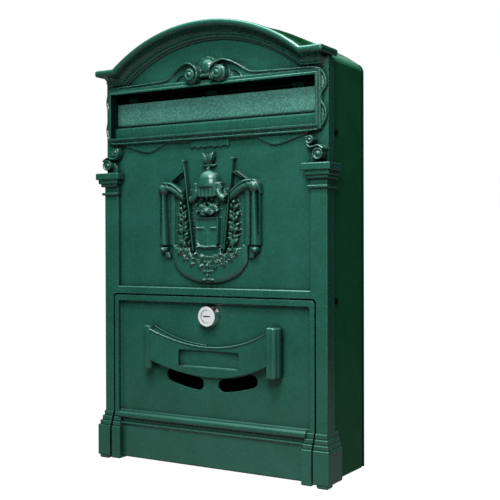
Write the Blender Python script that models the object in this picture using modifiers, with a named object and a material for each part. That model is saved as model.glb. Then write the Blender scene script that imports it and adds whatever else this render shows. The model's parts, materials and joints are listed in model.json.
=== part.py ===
"""Wall-mounted mailbox: a cast front with an arched pediment on a folded sheet body.

The front faces -Y and the back plate stands on the wall at Y = 0. X runs left to right seen from
the front and Z runs up. Lengths in this file are millimetres, turned into metres as each mesh is
made, and heights are measured from the underside of the body. The world's origin is the middle of
the wall face, WALL_POINT_HEIGHT above that underside.
"""
import math

import bmesh
import bpy
from mathutils import Matrix, Vector

MM = 0.001
GAP = 0.3                     # clearance between two separate pieces that meet

# The whole object
WALL_POINT_HEIGHT = 200.0     # height of the wall mount's point above the body's underside
FACE_Y = -81.5                # plane of the pilasters and of the door's border
FIELD_Y = -77.3               # plane of the upper face and of the field between the pilasters
PLATE_BACK_Y = -74.3          # rear of the cast front plate
FRAME_HALF = 124.0            # half width of the cast front
FOOT_DROP = 3.0               # how far the feet reach below the body's underside

# Folded sheet body
SHELL_HALF = 122.1
SHEET = 1.0
SHELL_FRONT_Y = -74.0
GABLE_Y = -66.0               # where the roof starts, behind the pediment
SHELL_REAR_Y = -5.5
ROOF_APEX = 416.5
ROOF_RADIUS = 200.0
EAVES_Z = 371.5
SHOULDER_X = 116.5
SHOULDER_BEND = (-1.0, 5.4)   # the corner of the round shoulder, from the eaves
BACK_FLANGE_Y = -12.0
BOTTOM_FRONT_Y = -70.2        # far enough back for the door's lower edge to swing past
WALL_HOLE = (80.0, 40.0, 340.0, 3.5)      # half spacing, lower height, upper height, radius

# Arched pediment
ARCH_CENTRE_Z = 247.8
ARCH_OUTER = 169.4
ARCH_INNER = 152.7
ARCH_STEPS = 36
CORNICE_Y = -94.9
CORNICE_END = 119.5           # where the level run of the cove and beads stops
LUG_START = 114.0             # the plain end of the nose grows out of the run from here
LUG_HALF = 126.0
LUG_Z = (374.8, 381.6)
LUG_REAR_Y = -62.0

# Mail slot and its flap
SLOT_HALF = 113.9
SLOT_Z = (314.4, 357.6)
SILL_Y = (-79.0, -75.4)
SILL_TOP = 325.0
LIP_Y = -84.2
TUNNEL_REAR_Y = -68.0
FLAP_HALF = 113.3
FLAP_Z = (324.6, 349.0)
FLAP_FRONT_Y = -73.0
FLAP_THICK = 2.0
FLAP_CURL = 4.5               # outer radius of the flap's turned-back lower edge
FLAP_AXIS = (-72.0, 352.0)    # y and z of the flap's hinge line
ROD_RADIUS = 1.5

# Door
OPENING_HALF = 113.0
OPENING_TOP = 161.4
DOOR_HALF = 111.5
DOOR_TOP = 159.9
DOOR_BACK_Y = -74.5
PANEL_Y = -77.0
PANEL_HALF = 106.7
PANEL_Z = (45.0, 154.5)
DOOR_AXIS = (-78.0, 4.5)      # y and z of the door's hinge line
HINGE_PIN_RADIUS = 2.0
BASE_Y = -88.0                # front of the corner blocks and of the door's edge strips
BASE_HALF = 128.4
BASE_STEPS = ((0.0, 29.7, 0.0), (29.7, 34.0, 1.6), (34.0, 38.6, 3.4), (38.6, 43.4, 5.0))
STRIP_INNER = 101.0

# Scroll banner on the door
BANNER_END = 67.0
BANNER_TOP = (113.6, 140.5)       # lowest point and radius of the upper edge
BANNER_BOTTOM = (84.7, 153.0)     # lowest point and radius of the lower edge
BANNER_MIDDLE_Y = -80.0
BANNER_END_Y = -89.0
BANNER_PLAN_RADIUS = 253.0
VIEW_SLOT = (77.0, 150.0, 6.2, 14.0, 45.0)    # lowest centre, arc radius, half height, end centres

# Cam lock
LOCK_Z = 142.2
LOCK_FACE_Y = -84.6
LOCK_HEAD_RADIUS = 9.3
LOCK_BARREL_RADIUS = 8.0
LOCK_PLUG_RADIUS = 6.0
LOCK_REAR_Y = -70.2
CAM_Y = (-69.9, -67.9)
CAM_REACH = 26.0

# Capitals and screws
CAPITAL_HALF = 130.0
CAPITAL_STEPS = ((274.0, 280.3, 101.6, 130.0, -88.5), (269.8, 274.6, 104.3, 128.0, -86.6),
                 (266.9, 270.4, 106.4, 126.3, -84.8), (258.6, 261.2, 105.9, 125.6, -84.2))
SIDE_SCREW_Y = -61.0
SIDE_SCREW_Z = (159.0, 308.7)
STUD_X = (30.0, 50.0)         # half spacing of the emblem's and the banner's fasteners
STUD_Z = (236.0, 106.0)


def clear_scene():
    for item in list(bpy.data.objects):
        bpy.data.objects.remove(item, do_unlink=True)


def new_collection(name):
    group = bpy.data.collections.new(name)
    bpy.context.scene.collection.children.link(group)
    return group


def make_material(name, colour, roughness, metallic):
    finish = bpy.data.materials.new(name)
    finish.use_nodes = True
    shader = finish.node_tree.nodes["Principled BSDF"]
    shader.inputs["Base Color"].default_value = (*colour, 1.0)
    shader.inputs["Roughness"].default_value = roughness
    shader.inputs["Metallic"].default_value = metallic
    finish.diffuse_color = (*colour, 1.0)
    return finish


clear_scene()
PARTS = new_collection("wall_mailbox")
CUTTERS = new_collection("cutters")
BASE = bpy.data.objects.new("body_underside", None)
BASE.location = (0.0, 0.0, -WALL_POINT_HEIGHT * MM)
PARTS.objects.link(BASE)

GREEN = make_material("cast_green_powder_coat", (0.028, 0.135, 0.092), 0.42, 0.0)
SHEET_GREEN = make_material("sheet_green_powder_coat", (0.018, 0.095, 0.058), 0.48, 0.0)
FLAP_GREEN = make_material("wrinkle_green_powder_coat", (0.05, 0.18, 0.13), 0.6, 0.0)
CHROME = make_material("lock_chrome", (0.85, 0.85, 0.86), 0.12, 1.0)
STEEL = make_material("zinc_plated_steel", (0.6, 0.6, 0.58), 0.35, 1.0)
BRASS = make_material("lock_brass", (0.72, 0.55, 0.26), 0.3, 1.0)
DARK_SCREW = make_material("dark_screw_steel", (0.03, 0.045, 0.04), 0.5, 0.6)


def link(name, mesh, group, finish=None):
    """Put a mesh in the scene as a named object that hangs on the body's base."""
    item = bpy.data.objects.new(name, mesh)
    group.objects.link(item)
    item.parent = BASE
    if finish:
        mesh.materials.append(finish)
    if group is CUTTERS:
        item.hide_render = True
        item.display_type = "WIRE"
    return item


def from_bmesh(name, shape, group, finish=None):
    bmesh.ops.recalc_face_normals(shape, faces=shape.faces)
    mesh = bpy.data.meshes.new(name)
    shape.to_mesh(mesh)
    shape.free()
    return link(name, mesh, group, finish)


def block(name, xs, ys, zs, group=None, finish=None):
    """A box between two limits on each axis."""
    shape = bmesh.new()
    size = [(pair[1] - pair[0]) * MM for pair in (xs, ys, zs)]
    middle = [(pair[1] + pair[0]) / 2 * MM for pair in (xs, ys, zs)]
    bmesh.ops.create_cube(shape, size=1.0, matrix=Matrix.Translation(middle) @ Matrix.Diagonal((*size, 1.0)))
    return from_bmesh(name, shape, group or CUTTERS, finish)


def rod(name, start, end, radius, group=None, finish=None, segments=24, end_radius=None):
    """A round bar, or a cone, between two points."""
    start, end = Vector(start) * MM, Vector(end) * MM
    turn = (end - start).to_track_quat("Z", "Y").to_matrix().to_4x4()
    shape = bmesh.new()
    bmesh.ops.create_cone(
        shape, cap_ends=True, segments=segments, radius1=radius * MM,
        radius2=(radius if end_radius is None else end_radius) * MM, depth=(end - start).length,
        matrix=Matrix.Translation((start + end) / 2) @ turn)
    return from_bmesh(name, shape, group or CUTTERS, finish)


def prism(name, outline, ys, group=None, finish=None):
    """An outline of (x, z) points, extruded between two depths."""
    curve = bpy.data.curves.new(name + "_outline", "CURVE")
    curve.dimensions = "2D"
    curve.fill_mode = "BOTH"
    curve.extrude = (ys[1] - ys[0]) / 2 * MM
    line = curve.splines.new("POLY")
    line.points.add(len(outline) - 1)
    for point, (x, z) in zip(line.points, outline):
        point.co = (x * MM, z * MM, 0.0, 1.0)
    line.use_cyclic_u = True
    guide = bpy.data.objects.new(name + "_guide", curve)
    bpy.context.scene.collection.objects.link(guide)
    mesh = bpy.data.meshes.new_from_object(guide.evaluated_get(bpy.context.evaluated_depsgraph_get()))
    bpy.data.objects.remove(guide, do_unlink=True)
    shape = bmesh.new()
    shape.from_mesh(mesh)
    bmesh.ops.remove_doubles(shape, verts=shape.verts, dist=0.00001)
    stand = Matrix.Translation((0.0, (ys[0] + ys[1]) / 2 * MM, 0.0)) @ Matrix.Rotation(math.pi / 2, 4, "X")
    bmesh.ops.transform(shape, matrix=stand, verts=shape.verts)
    bpy.data.meshes.remove(mesh)
    return from_bmesh(name, shape, group or CUTTERS, finish)


def moulding(name, outline, xs, group=None, finish=None):
    """An outline of (y, z) points, extruded from side to side."""
    shape = bmesh.new()
    face = shape.faces.new([shape.verts.new((xs[0] * MM, y * MM, z * MM)) for y, z in outline])
    swept = bmesh.ops.extrude_face_region(shape, geom=[face])
    moved = [item for item in swept["geom"] if isinstance(item, bmesh.types.BMVert)]
    bmesh.ops.translate(shape, verts=moved, vec=((xs[1] - xs[0]) * MM, 0.0, 0.0))
    return from_bmesh(name, shape, group or CUTTERS, finish)


def cornice_run(name, profile, end_x):
    """A closed section of (radius, y) points that follows the arch and turns level at each foot.

    Each point stays on its own circle until the circle meets the point's level line, so that the
    two directions meet in a mitre.
    """
    levels = [LUG_Z[1] - (ARCH_OUTER - radius) for radius, _ in profile]
    turns = [math.acos((level - ARCH_CENTRE_Z) / radius) for level, (radius, _) in zip(levels, profile)]

    def section(share):
        return [(radius * math.sin(turn * share), y, ARCH_CENTRE_Z + radius * math.cos(turn * share))
                for turn, (radius, y) in zip(turns, profile)]

    def end(side):
        return [(side * end_x, y, level) for level, (_, y) in zip(levels, profile)]

    sections = [end(-1)] + [section(2 * i / ARCH_STEPS - 1) for i in range(ARCH_STEPS + 1)] + [end(1)]
    shape = bmesh.new()
    rings = [[shape.verts.new(Vector(point) * MM) for point in points] for points in sections]
    for ring, following in zip(rings, rings[1:]):
        for i in range(len(profile)):
            j = (i + 1) % len(profile)
            shape.faces.new((ring[i], ring[j], following[j], following[i]))
    shape.faces.new(rings[0])
    shape.faces.new(rings[-1])
    return from_bmesh(name, shape, CUTTERS)


def soften(item, width, segments=1):
    bevel = item.modifiers.new("soft_edges", "BEVEL")
    bevel.width = width * MM
    bevel.segments = segments
    bevel.limit_method = "ANGLE"
    bevel.angle_limit = math.radians(40)
    return item


def combine(item, others, operation):
    """One Boolean with a whole group of solids."""
    group = bpy.data.collections.new(f"{item.name}_{operation.lower()}")
    CUTTERS.children.link(group)
    for other in others:
        CUTTERS.objects.unlink(other)
        group.objects.link(other)
    step = item.modifiers.new(operation.lower(), "BOOLEAN")
    step.operation = operation
    step.operand_type = "COLLECTION"
    step.collection = group


def weld(item, others):
    """Join several solids to one, as a casting or a pressing is one piece."""
    combine(item, others, "UNION")


def carve(item, *cutters):
    combine(item, cutters, "DIFFERENCE")


def smooth(item, degrees=32):
    item.data.shade_smooth()
    item.data.set_sharp_from_angle(angle=math.radians(degrees))
    return item


def stud_hole(name, x, z, bottom_y):
    """A cutter for an ornament's fastener, put in from behind down to a given depth."""
    return rod(name, (x, bottom_y, z), (x, -60.0, z), 1.8, segments=16)


def both_sides(maker):
    """Call a maker for the right side, 1, and for the left side, -1."""
    return [piece for side in (1, -1) for piece in maker(side)]


def span(side, inner, outer):
    return tuple(sorted((side * inner, side * outer)))


def arc_points(centre, radius, start, end, count):
    """Points on an arc in the XZ plane, angles in degrees from +X towards +Z."""
    angles = [math.radians(start + (end - start) * i / (count - 1)) for i in range(count)]
    return [(centre[0] + radius * math.cos(a), centre[1] + radius * math.sin(a)) for a in angles]


# ---------------------------------------------------------------- folded sheet body

def shrink(outline, inset):
    """A counter-clockwise outline with every side moved inwards by the same distance."""
    points = [Vector(point) for point in outline]
    shrunk = []
    for before, here, after in zip(points[-1:] + points[:-1], points, points[1:] + points[:1]):
        arriving = (here - before).normalized()
        leaving = (after - here).normalized()
        along = (arriving + leaving).normalized()
        inwards = Vector((-along.y, along.x))
        shrunk.append(tuple(here + inwards * inset / along.dot(arriving)))
    return shrunk


def body_outline(inset):
    """Outline of the sheet body, seen from the front: two walls, tight round shoulders, arched roof."""
    centre_z = ROOF_APEX - ROOF_RADIUS
    shoulder = Vector((SHOULDER_X, centre_z + math.sqrt(ROOF_RADIUS ** 2 - SHOULDER_X ** 2)))
    eaves = Vector((SHELL_HALF, EAVES_Z))
    bend = eaves + Vector(SHOULDER_BEND)
    steps = [i / 4 for i in range(5)]
    rounded = [eaves * (1 - t) ** 2 + bend * 2 * t * (1 - t) + shoulder * t ** 2 for t in steps]
    tilt = math.degrees(math.asin(SHOULDER_X / ROOF_RADIUS))
    roof = arc_points((0.0, centre_z), ROOF_RADIUS, 90 - tilt, 90 + tilt, 19)[1:-1]
    right = [(SHELL_HALF, 0.0)] + [tuple(point) for point in rounded]
    left = [(-x, z) for x, z in reversed(right)]
    return shrink(right + roof + left, inset)


def make_body_shell():
    shell = prism("body_shell", body_outline(0.0), (SHELL_FRONT_Y, SHELL_REAR_Y), PARTS, SHEET_GREEN)
    inner = [(x, -10.0 if z < 5 else z) for x, z in body_outline(SHEET)]
    carve(shell, prism("shell_hollow", inner, (GABLE_Y + SHEET, 10.0)))
    front_half = SHELL_HALF - SHEET
    carve(shell, block("shell_front_hollow", (-front_half, front_half), (-90.0, GABLE_Y + 3.0),
                       (-10.0, 364.0)))
    carve(shell, block("shell_roof_setback", (-140.0, 140.0), (-90.0, GABLE_Y), (363.0, 440.0)))
    for side in (1, -1):
        for z in SIDE_SCREW_Z:
            carve(shell, rod(f"shell_screw_hole_{side}_{z:.0f}", (side * 110, SIDE_SCREW_Y, z),
                             (side * 130, SIDE_SCREW_Y, z), 1.9, segments=16))
    return smooth(shell, 25)


def make_back_plate():
    plate = prism("back_plate", body_outline(0.0), (-SHEET, 0.0), PARTS, SHEET_GREEN)
    weld(plate, [prism("back_plate_flange", body_outline(SHEET + GAP), (BACK_FLANGE_Y, -0.5))])
    carve(plate, prism("back_plate_pan", body_outline(2 * SHEET + GAP), (BACK_FLANGE_Y - 3.0, -SHEET - 0.05)))
    half_spacing, low, high, radius = WALL_HOLE
    for side in (1, -1):
        for z in (low, high):
            carve(plate, rod(f"wall_hole_{side}_{z:.0f}", (side * half_spacing, -10, z),
                             (side * half_spacing, 10, z), radius, segments=20))
    return plate


def make_bottom_plate():
    half = SHELL_HALF - SHEET - GAP
    plate = block("bottom_plate", (-half, half), (BOTTOM_FRONT_Y, -SHEET - GAP), (0.0, SHEET),
                  PARTS, SHEET_GREEN)
    lips = [block("bottom_lip_front", (-half + 4, half - 4), (BOTTOM_FRONT_Y + 0.2, BOTTOM_FRONT_Y + 1.2),
                  (0.8, 6.5))]
    for side in (1, -1):
        lips.append(block(f"bottom_lip_{side}", span(side, half - 1.2, half - 0.2), (-58.0, -14.0),
                          (0.8, 12.0)))
    weld(plate, lips)
    return plate


# ---------------------------------------------------------------- cast front frame

def cornice_profile():
    """The cornice in section: a slab with a round nose, a deep cove, two beads and the face."""
    middle = ARCH_OUTER - 3.2
    nose = [(ARCH_OUTER - 0.8, GABLE_Y - 0.2), (ARCH_OUTER, CORNICE_Y + 4.5)]
    nose += [(middle + 3.2 * math.sin(a), CORNICE_Y + 3.2 - 3.2 * math.cos(a))
             for a in (1.05, 0.5, 0.0, -0.5, -1.05, -1.5)]
    cove = [(162.2, -87.6), (161.0, -85.0), (160.0, -83.6), (159.3, -83.0)]
    beads = [(158.2, -83.6), (157.2, -83.2), (156.7, -81.6), (155.5, -81.8), (154.5, -81.0), (153.9, -79.6)]
    back = [(ARCH_INNER, -79.0), (ARCH_INNER, -75.6), (ARCH_OUTER - 5.0, -75.6),
            (ARCH_OUTER - 5.0, GABLE_Y - 0.2)]
    return nose + cove + beads + back


def pediment_parts():
    parts = [cornice_run("cornice", cornice_profile(), CORNICE_END)]

    def lug(side):
        nose = block(f"lug_{side}", span(side, LUG_START, LUG_HALF), (CORNICE_Y + 0.15, GABLE_Y - GAP),
                     (LUG_Z[0] + 0.15, LUG_Z[1] - 0.1))
        tail = block(f"lug_return_{side}", span(side, SHELL_HALF + 0.5, LUG_HALF - 0.2), (-72.0, LUG_REAR_Y),
                     (LUG_Z[0] + 0.3, LUG_Z[1] - 0.2))
        return [soften(nose, 2.6, 3), soften(tail, 1.5)]
    return parts + both_sides(lug)


def face_outline():
    """Outline of the cast plate: straight sides and an arched head behind the cornice."""
    half = FRAME_HALF - 0.3
    radius = 161.3
    tilt = math.degrees(math.asin(107.0 / radius))
    head = arc_points((0.0, ARCH_CENTRE_Z), radius, 90 - tilt, 90 + tilt, 16)
    side_top = 374.0
    return [(half, 0.4), (half, side_top), (108.0, side_top)] + head + [
        (-108.0, side_top), (-half, side_top), (-half, 0.4)]


def pilaster_parts(side):
    shaft = block(f"pilaster_{side}", span(side, 106.9, FRAME_HALF), (FACE_Y, -75.5), (20.0, 268.0))
    skirt = block(f"skirt_{side}", span(side, SHELL_HALF + GAP, FRAME_HALF - 0.3), (-76.0, GABLE_Y),
                  (1.0, 373.0))
    parts = [soften(shaft, 0.8), skirt]
    for low, high, inner, outer, front in CAPITAL_STEPS:
        parts.append(soften(block(f"capital_{side}_{low:.0f}", span(side, inner, outer),
                                  (front, -75.2), (low, high)), 0.6))
        behind = block(f"capital_return_{side}_{low:.0f}", span(side, SHELL_HALF + 0.5, outer - 0.1),
                       (front + 5.0, -63.6), (low + 0.1, high - 0.1))
        parts.append(soften(behind, 0.5))
    return parts


def corner_block_parts(side):
    parts = []
    for low, high, step in BASE_STEPS:
        outer = BASE_HALF - step * 0.8
        parts.append(soften(block(f"corner_{side}_{low:.0f}", span(side, 108.0, outer),
                                  (BASE_Y + step, -74.9), (low + 0.2, high + 0.5)), 0.7))
        behind = block(f"corner_return_{side}_{low:.0f}", span(side, SHELL_HALF + 0.5, outer - 0.15),
                       (BASE_Y + step + 4.0, -60.0), (low + 0.35, high + 0.65))
        parts.append(soften(behind, 0.6))
    foot = block(f"foot_{side}", span(side, 115.5, 127.2), (BASE_Y + 0.8, -76.5), (-FOOT_DROP, 2.0))
    parts.append(soften(foot, 1.3))
    return parts


def slot_parts():
    parts = [
        soften(block("slot_surround", (-118.4, 118.4), (-82.4, -76.2), (309.6, 363.8)), 1.2),
        soften(block("slot_lip", (-116.4, 116.4), (LIP_Y, -75.9), (311.9, 360.1)), 0.8),
        block("slot_tunnel", (-116.0, 116.0), (-77.0, TUNNEL_REAR_Y), (312.2, 359.9)),
    ]
    return parts


def inner_parts():
    """The keeper rib behind the rail over the door, the flap's rear hood and the screw tabs."""
    parts = [
        soften(block("door_rail", (-108.0, 108.0), (FACE_Y + 0.1, -75.7), (158.0, 168.6)), 0.8),
        block("cam_keeper", (-22.0, 22.0), (-75.0, -71.0), (162.0, 172.0)),
        block("flap_hood", (-115.0, 115.0), (-69.0, -65.8), (354.6, 359.6)),
    ]
    for side in (1, -1):
        for z in SIDE_SCREW_Z:
            parts.append(block(f"screw_tab_{side}_{z:.0f}", span(side, 117.0, 120.8), (-75.4, -56.0),
                               (z - 7.0, z + 7.0)))
    return parts


def opening_outline():
    """The doorway: open at the bottom, with small round upper corners."""
    r = 3.5
    right = arc_points((OPENING_HALF - r, OPENING_TOP - r), r, 0, 90, 5)
    left = [(-x, z) for x, z in reversed(right)]
    return [(OPENING_HALF, -20.0)] + right + left + [(-OPENING_HALF, -20.0)]


def make_front_frame():
    frame = prism("front_frame", face_outline(), (FIELD_Y, PLATE_BACK_Y), PARTS, GREEN)
    weld(frame, pediment_parts() + both_sides(pilaster_parts) + both_sides(corner_block_parts)
         + slot_parts() + inner_parts())
    slot_width = (-SLOT_HALF, SLOT_HALF)
    sill_slope = [(SILL_Y[0] - 1.0, SILL_TOP + 0.3), (SILL_Y[0] - 1.0, SILL_TOP - 2.8),
                  (SILL_Y[1] - 1.0, SILL_TOP + 0.3)]
    cutters = [prism("doorway", opening_outline(), (-120.0, -60.0)),
               block("slot_recess", slot_width, (-120.0, SILL_Y[0]), SLOT_Z),
               block("slot_hole", slot_width, (SILL_Y[0] - 1.0, -66.6), (SILL_TOP, SLOT_Z[1])),
               block("sill_pocket", slot_width, (SILL_Y[1], -66.6), (SLOT_Z[0], SILL_TOP + 1.0)),
               moulding("sill_slope", sill_slope, slot_width)]
    for side in (1, -1):
        cutters.append(rod(f"door_pin_hole_{side}", (side * 110, *DOOR_AXIS), (side * 121.5, *DOOR_AXIS),
                           HINGE_PIN_RADIUS + GAP, segments=16))
        cutters.append(rod(f"flap_rod_hole_{side}", (side * 112, *FLAP_AXIS), (side * 116.3, *FLAP_AXIS),
                           ROD_RADIUS + GAP, segments=16))
        cutters.append(rod(f"clip_pocket_{side}", (side * 116.15, *FLAP_AXIS), (side * 118.8, *FLAP_AXIS),
                           3.8, segments=16))
        cutters.append(stud_hole(f"emblem_rivet_hole_{side}", side * STUD_X[0], STUD_Z[0], -90.0))
        for z in SIDE_SCREW_Z:
            cutters.append(rod(f"tab_hole_{side}_{z:.0f}", (side * 110, SIDE_SCREW_Y, z),
                               (side * 122, SIDE_SCREW_Y, z), 1.9, segments=16))
    carve(frame, *cutters)
    return smooth(frame, 28)


def side_word(side):
    return "right" if side > 0 else "left"


def make_side_screws():
    """Four pan-head screws that hold the sheet body to the tabs of the casting."""
    for side in (1, -1):
        for height, z in zip(("lower", "upper"), SIDE_SCREW_Z):
            name = f"side_screw_{side_word(side)}_{height}"
            head = rod(name, (side * 122.45, SIDE_SCREW_Y, z), (side * 123.9, SIDE_SCREW_Y, z), 3.3, PARTS,
                       DARK_SCREW, 20, 2.2)
            weld(head, [rod(name + "_shank", (side * 115.5, SIDE_SCREW_Y, z), (side * 122.9, SIDE_SCREW_Y, z),
                            1.5, segments=16)])


# ---------------------------------------------------------------- emblem

def make_emblem():
    """Round-footed emblem with a domed crown, two staffs and hanging drapes."""
    centre_z = 229.0
    foot = arc_points((0.0, centre_z), 50.0, 200, 340, 15)
    right = [(54.0, 236.0), (53.0, 268.0), (40.0, 271.0), (22.0, 262.0), (14.0, 280.0), (6.0, 284.0),
             (7.0, 298.0)]
    outline = foot + right + [(-x, z) for x, z in reversed(right)]
    plaque = prism("emblem_plaque", outline, (-80.2, FIELD_Y - GAP), PARTS, GREEN)
    raised = [soften(block("emblem_shield", (-13.5, 13.5), (-83.0, -79.0), (213.0, 253.0)), 1.0)]
    raised.append(rod("emblem_crown", (0, -82.6, 262.0), (0, -82.6, 276.5), 10.5, segments=20,
                      end_radius=6.0))
    for side in (1, -1):
        raised.append(rod(f"emblem_staff_{side}", (side * 27.0, -81.6, 288.0),
                          (side * 17.0, -81.6, 206.0), 1.9, segments=12))
        raised.append(rod(f"emblem_drape_{side}", (side * 49.5, -80.6, 206.0),
                          (side * 46.5, -80.6, 268.0), 4.2, segments=16, end_radius=3.4))
    weld(plaque, raised)
    carve(plaque, block("emblem_back_cut", (-80.0, 80.0), (FIELD_Y - GAP, -50.0), (150.0, 320.0)))
    for side in (1, -1):
        carve(plaque, stud_hole(f"emblem_stud_hole_{side}", side * STUD_X[0], STUD_Z[0], -79.2))
    return smooth(plaque)


def make_stud(name, x, z, tip_y, plate_rear_y):
    """A fastener put in from behind: a shank in the ornament and a head on the plate's rear."""
    head_y = plate_rear_y + GAP
    head = rod(name, (x, head_y, z), (x, head_y + 1.6, z), 3.0, PARTS, STEEL, 20)
    weld(head, [rod(name + "_shank", (x, tip_y, z), (x, head_y + 0.5, z), 1.5, segments=16)])


# ---------------------------------------------------------------- mail flap

def flap_outline():
    """The flap in section: a flat plate whose lower edge turns back on a quarter round."""
    centre = (FLAP_FRONT_Y + FLAP_CURL, FLAP_Z[0] + FLAP_CURL)
    outer = arc_points(centre, FLAP_CURL, 180, 270, 7)
    inner = arc_points(centre, FLAP_CURL - FLAP_THICK, 270, 180, 7)
    return [(FLAP_FRONT_Y, FLAP_Z[1])] + outer + inner + [(FLAP_FRONT_Y + FLAP_THICK, FLAP_Z[1])]


def make_slot_flap():
    flap = moulding("slot_flap", flap_outline(), (-FLAP_HALF, FLAP_HALF), PARTS, FLAP_GREEN)
    necks = []
    for x in (-92.0, 0.0, 92.0):
        necks.append(rod(f"flap_knuckle_{x:.0f}", (x - 6, *FLAP_AXIS), (x + 6, *FLAP_AXIS), 3.1, segments=20))
        necks.append(block(f"flap_neck_{x:.0f}", (x - 5.8, x + 5.8),
                           (FLAP_FRONT_Y + 0.2, FLAP_FRONT_Y + FLAP_THICK - 0.2),
                           (FLAP_Z[1] - 6.0, FLAP_AXIS[1] - 0.4)))
    weld(flap, necks)
    carve(flap, rod("flap_bore", (-120, *FLAP_AXIS), (120, *FLAP_AXIS), ROD_RADIUS + 0.25, segments=20))
    return smooth(flap)


def make_flap_hinge_rod():
    return smooth(rod("flap_hinge_rod", (-118.2, *FLAP_AXIS), (118.2, *FLAP_AXIS), ROD_RADIUS,
                      PARTS, STEEL, 16))


def make_flap_rod_clip(side):
    """A spring clip on the end of the hinge rod, outside the slot's side wall."""
    clip = rod(f"flap_rod_clip_{side_word(side)}", (side * 116.4, *FLAP_AXIS), (side * 117.2, *FLAP_AXIS),
               3.4, PARTS, STEEL, 20)
    carve(clip, rod(f"clip_bore_{side}", (side * 110, *FLAP_AXIS), (side * 130, *FLAP_AXIS), ROD_RADIUS + GAP,
                    segments=16))


# ---------------------------------------------------------------- door

def door_outline():
    r = 3.0
    right = arc_points((DOOR_HALF - r, DOOR_TOP - r), r, 0, 90, 5)
    left = [(-x, z) for x, z in reversed(right)]
    return [(DOOR_HALF, 0.2)] + right + left + [(-DOOR_HALF, 0.2)]


def view_slot_outline(side):
    """One bean-shaped viewing slot: a band on an arc, with round ends."""
    lowest, radius, half_height, first, last = VIEW_SLOT
    centre = (0.0, lowest + radius)
    start = -90 + math.degrees(math.asin(first / radius))
    end = -90 + math.degrees(math.asin(last / radius))
    lower = arc_points(centre, radius + half_height, start, end, 7)
    upper = arc_points(centre, radius - half_height, end, start, 7)
    tip = arc_points(centre, radius, end, end, 2)[0]
    root = arc_points(centre, radius, start, start, 2)[0]
    round_tip = arc_points(tip, half_height, end, end + 180, 7)[1:-1]
    round_root = arc_points(root, half_height, start + 180, start + 360, 7)[1:-1]
    outline = lower + round_tip + upper + round_root
    return outline if side > 0 else [(-x, z) for x, z in reversed(outline)]


def door_strip_parts(side):
    parts = []
    for low, high, step in BASE_STEPS:
        bottom = low + 0.25 if low else -1.5
        strip = block(f"strip_{side}_{low:.0f}", span(side, STRIP_INNER + step * 0.4, DOOR_HALF - 0.1),
                      (BASE_Y + step, -76.0), (bottom, high + 0.5))
        parts.append(soften(strip, 0.7))
    return parts


def base_profile():
    """The door's foot in section: a bead over a cove, then the plinth with a small nose."""
    bead_y, bead_z, bead_radius = -81.9, 41.6, 3.6
    bead = arc_points((bead_y, bead_z), bead_radius, 90, 245, 8)
    cove = [(-81.9, 37.2), (-81.6, 36.0), (-81.9, 34.9)]
    nose = [(-83.0, 34.7), (-83.7, 34.0), (-83.6, 33.0), (-82.8, 32.2)]
    plinth = [(-82.1, 31.4), (-82.1, 1.2), (-79.0, 1.2), (-79.0, 45.2)]
    return bead + cove + nose + plinth


def make_door_panel():
    door = prism("door_panel", door_outline(), (FACE_Y, DOOR_BACK_Y), PARTS, GREEN)
    weld(door, both_sides(door_strip_parts))
    half = STRIP_INNER + 3.0
    weld(door, [moulding("base_moulding", base_profile(), (-half, half))])
    recess = soften(block("panel_recess", (-PANEL_HALF, PANEL_HALF), (-120.0, PANEL_Y), PANEL_Z), 1.2)
    carve(door, recess)
    carve(door, rod("lock_hole", (0, -90, LOCK_Z), (0, -60, LOCK_Z), LOCK_BARREL_RADIUS + GAP, segments=32))
    for side in (1, -1):
        carve(door, prism(f"view_slot_{side}", view_slot_outline(side), (-90.0, -60.0)))
        carve(door, rod(f"door_pin_bore_{side}", (side * 102.0, *DOOR_AXIS), (side * 114.0, *DOOR_AXIS),
                        HINGE_PIN_RADIUS + GAP, segments=16))
        carve(door, stud_hole(f"banner_screw_hole_{side}", side * STUD_X[1], STUD_Z[1], -90.0))
    return smooth(door)


def make_door_hinge_pin(side):
    """A plain pin at a lower corner: on this pair the door swings down."""
    smooth(rod(f"door_hinge_pin_{side_word(side)}", (side * 102.6, *DOOR_AXIS), (side * 121.0, *DOOR_AXIS),
               HINGE_PIN_RADIUS, PARTS, STEEL, 16))


def banner_outline():
    """The smile-shaped band between two arcs."""
    top_z, top_r = BANNER_TOP
    low_z, low_r = BANNER_BOTTOM
    top_tilt = math.degrees(math.asin(BANNER_END / top_r))
    low_tilt = math.degrees(math.asin(BANNER_END / low_r))
    lower = arc_points((0.0, low_z + low_r), low_r, -90 - low_tilt, -90 + low_tilt, 17)
    upper = arc_points((0.0, top_z + top_r), top_r, -90 + top_tilt, -90 - top_tilt, 17)
    return lower + upper


def make_name_banner():
    """A hollow-faced scroll band: its ends stand out and curl, one forwards and one back."""
    back = PANEL_Y - GAP
    banner = prism("name_banner", banner_outline(), (BANNER_END_Y - 1.0, back), PARTS, GREEN)
    plan_y = BANNER_MIDDLE_Y - BANNER_PLAN_RADIUS
    carve(banner, rod("banner_plan_curve", (0, plan_y, 40), (0, plan_y, 180), BANNER_PLAN_RADIUS,
                      segments=160))
    right = rod("banner_roll_right", (71.2, -82.4, 89.0), (71.2, -82.4, 134.2), 6.3, segments=24)
    left = rod("banner_roll_left", (-66.4, -84.9, 89.6), (-66.4, -84.9, 131.0), 4.4, segments=20)
    weld(banner, [soften(right, 0.8), soften(left, 0.8)])
    carve(banner, block("banner_back_cut", (-100.0, 100.0), (back, -50.0), (60.0, 160.0)))
    recess = block("name_recess", (-33.6, 33.6), (-100.0, BANNER_MIDDLE_Y + 1.9), (93.6, 109.6))
    carve(banner, soften(recess, 0.8))
    for side in (1, -1):
        carve(banner, stud_hole(f"banner_stud_hole_{side}", side * STUD_X[1], STUD_Z[1], -81.6))
    return smooth(banner)


# ---------------------------------------------------------------- cam lock

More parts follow.
